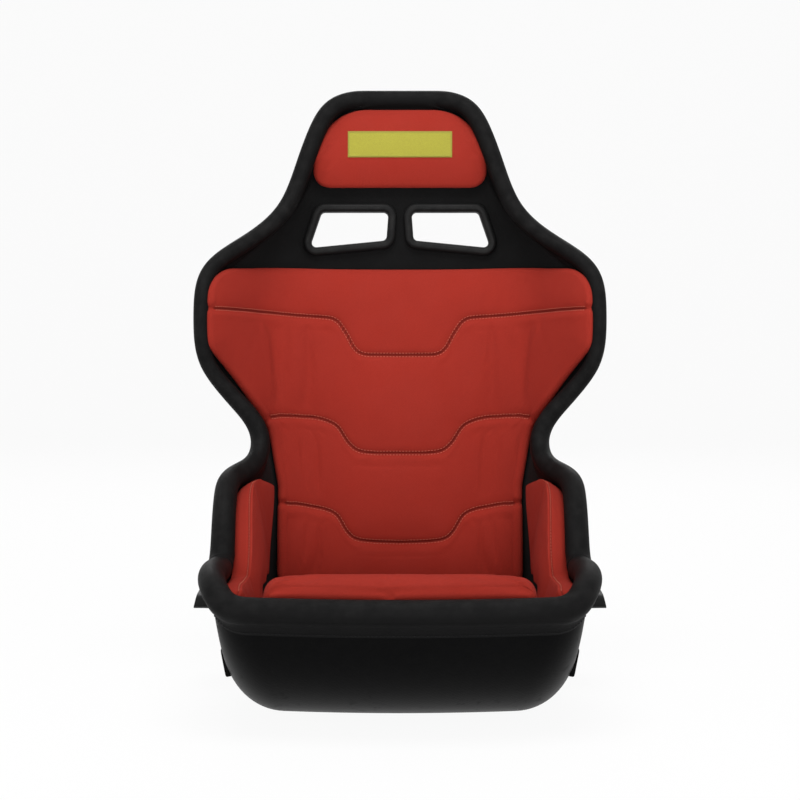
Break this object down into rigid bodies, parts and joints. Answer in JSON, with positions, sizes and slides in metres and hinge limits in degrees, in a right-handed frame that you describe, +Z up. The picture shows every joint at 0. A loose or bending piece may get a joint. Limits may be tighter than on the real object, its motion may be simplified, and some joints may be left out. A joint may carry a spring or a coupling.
{
  "type": "racing bucket seat",
  "caption": "Fixed-back racing bucket seat: composite tub with rolled edge trim, red foam pads, head pad, and slots for shoulder, lap and crotch straps.",
  "frame": {"origin": "centre of the flat underside of the tub, on the middle plane, at the height of the floor it stands on", "axes": "+Z up; the sitter faces -Y; +X is the sitter's left hand. The tub is mirror-symmetric about the plane X = 0."},
  "size_m": [0.58, 0.5956, 0.8421],
  "materials": {
    "tub_gelcoat": "satin gelcoat over glass-fibre laminate",
    "lining_cloth": "short-pile black cloth",
    "trim_cloth": "black cover cloth over a foam roll",
    "red_cloth": "woven red velour over foam",
    "patch_cloth": "plain yellow badge cloth",
    "hook_tape": "black hook-and-loop tape",
    "bezel_rubber": "satin moulded rubber",
    "insert_steel": "zinc-plated"
  },
  "bodies": {
    "root": {"back_edge_roll": "trim_cloth", "back_pad": "red_cloth", "crotch_slot_bezel": "bezel_rubber", "head_pad": "red_cloth", "head_patch": "patch_cloth", "hook_strip_back_low": "hook_tape", "hook_strip_back_middle": "hook_tape", "hook_strip_back_top": "hook_tape", "hook_strip_bolster_left": "hook_tape", "hook_strip_bolster_right": "hook_tape", "hook_strip_cushion_front": "hook_tape", "hook_strip_cushion_rear": "hook_tape", "hook_strip_head": "hook_tape", "inner_lining": "lining_cloth", "lap_belt_guide_left": "bezel_rubber", "lap_belt_guide_right": "bezel_rubber", "lap_slot_bezel_left": "bezel_rubber", "lap_slot_bezel_right": "bezel_rubber", "mount_boss_front_left": "tub_gelcoat", "mount_boss_front_right": "tub_gelcoat", "mount_boss_rear_left": "tub_gelcoat", "mount_boss_rear_right": "tub_gelcoat", "mount_insert_front_left": "insert_steel", "mount_insert_front_right": "insert_steel", "mount_insert_rear_left": "insert_steel", "mount_insert_rear_right": "insert_steel", "seat_cushion": "red_cloth", "seat_shell": "tub_gelcoat", "shoulder_slot_backing_left": "bezel_rubber", "shoulder_slot_backing_right": "bezel_rubber", "shoulder_slot_bezel_left": "bezel_rubber", "shoulder_slot_bezel_right": "bezel_rubber", "side_bolster_left": "red_cloth", "side_bolster_right": "red_cloth", "thigh_edge_roll": "trim_cloth"}
  },
  "joints": []
}
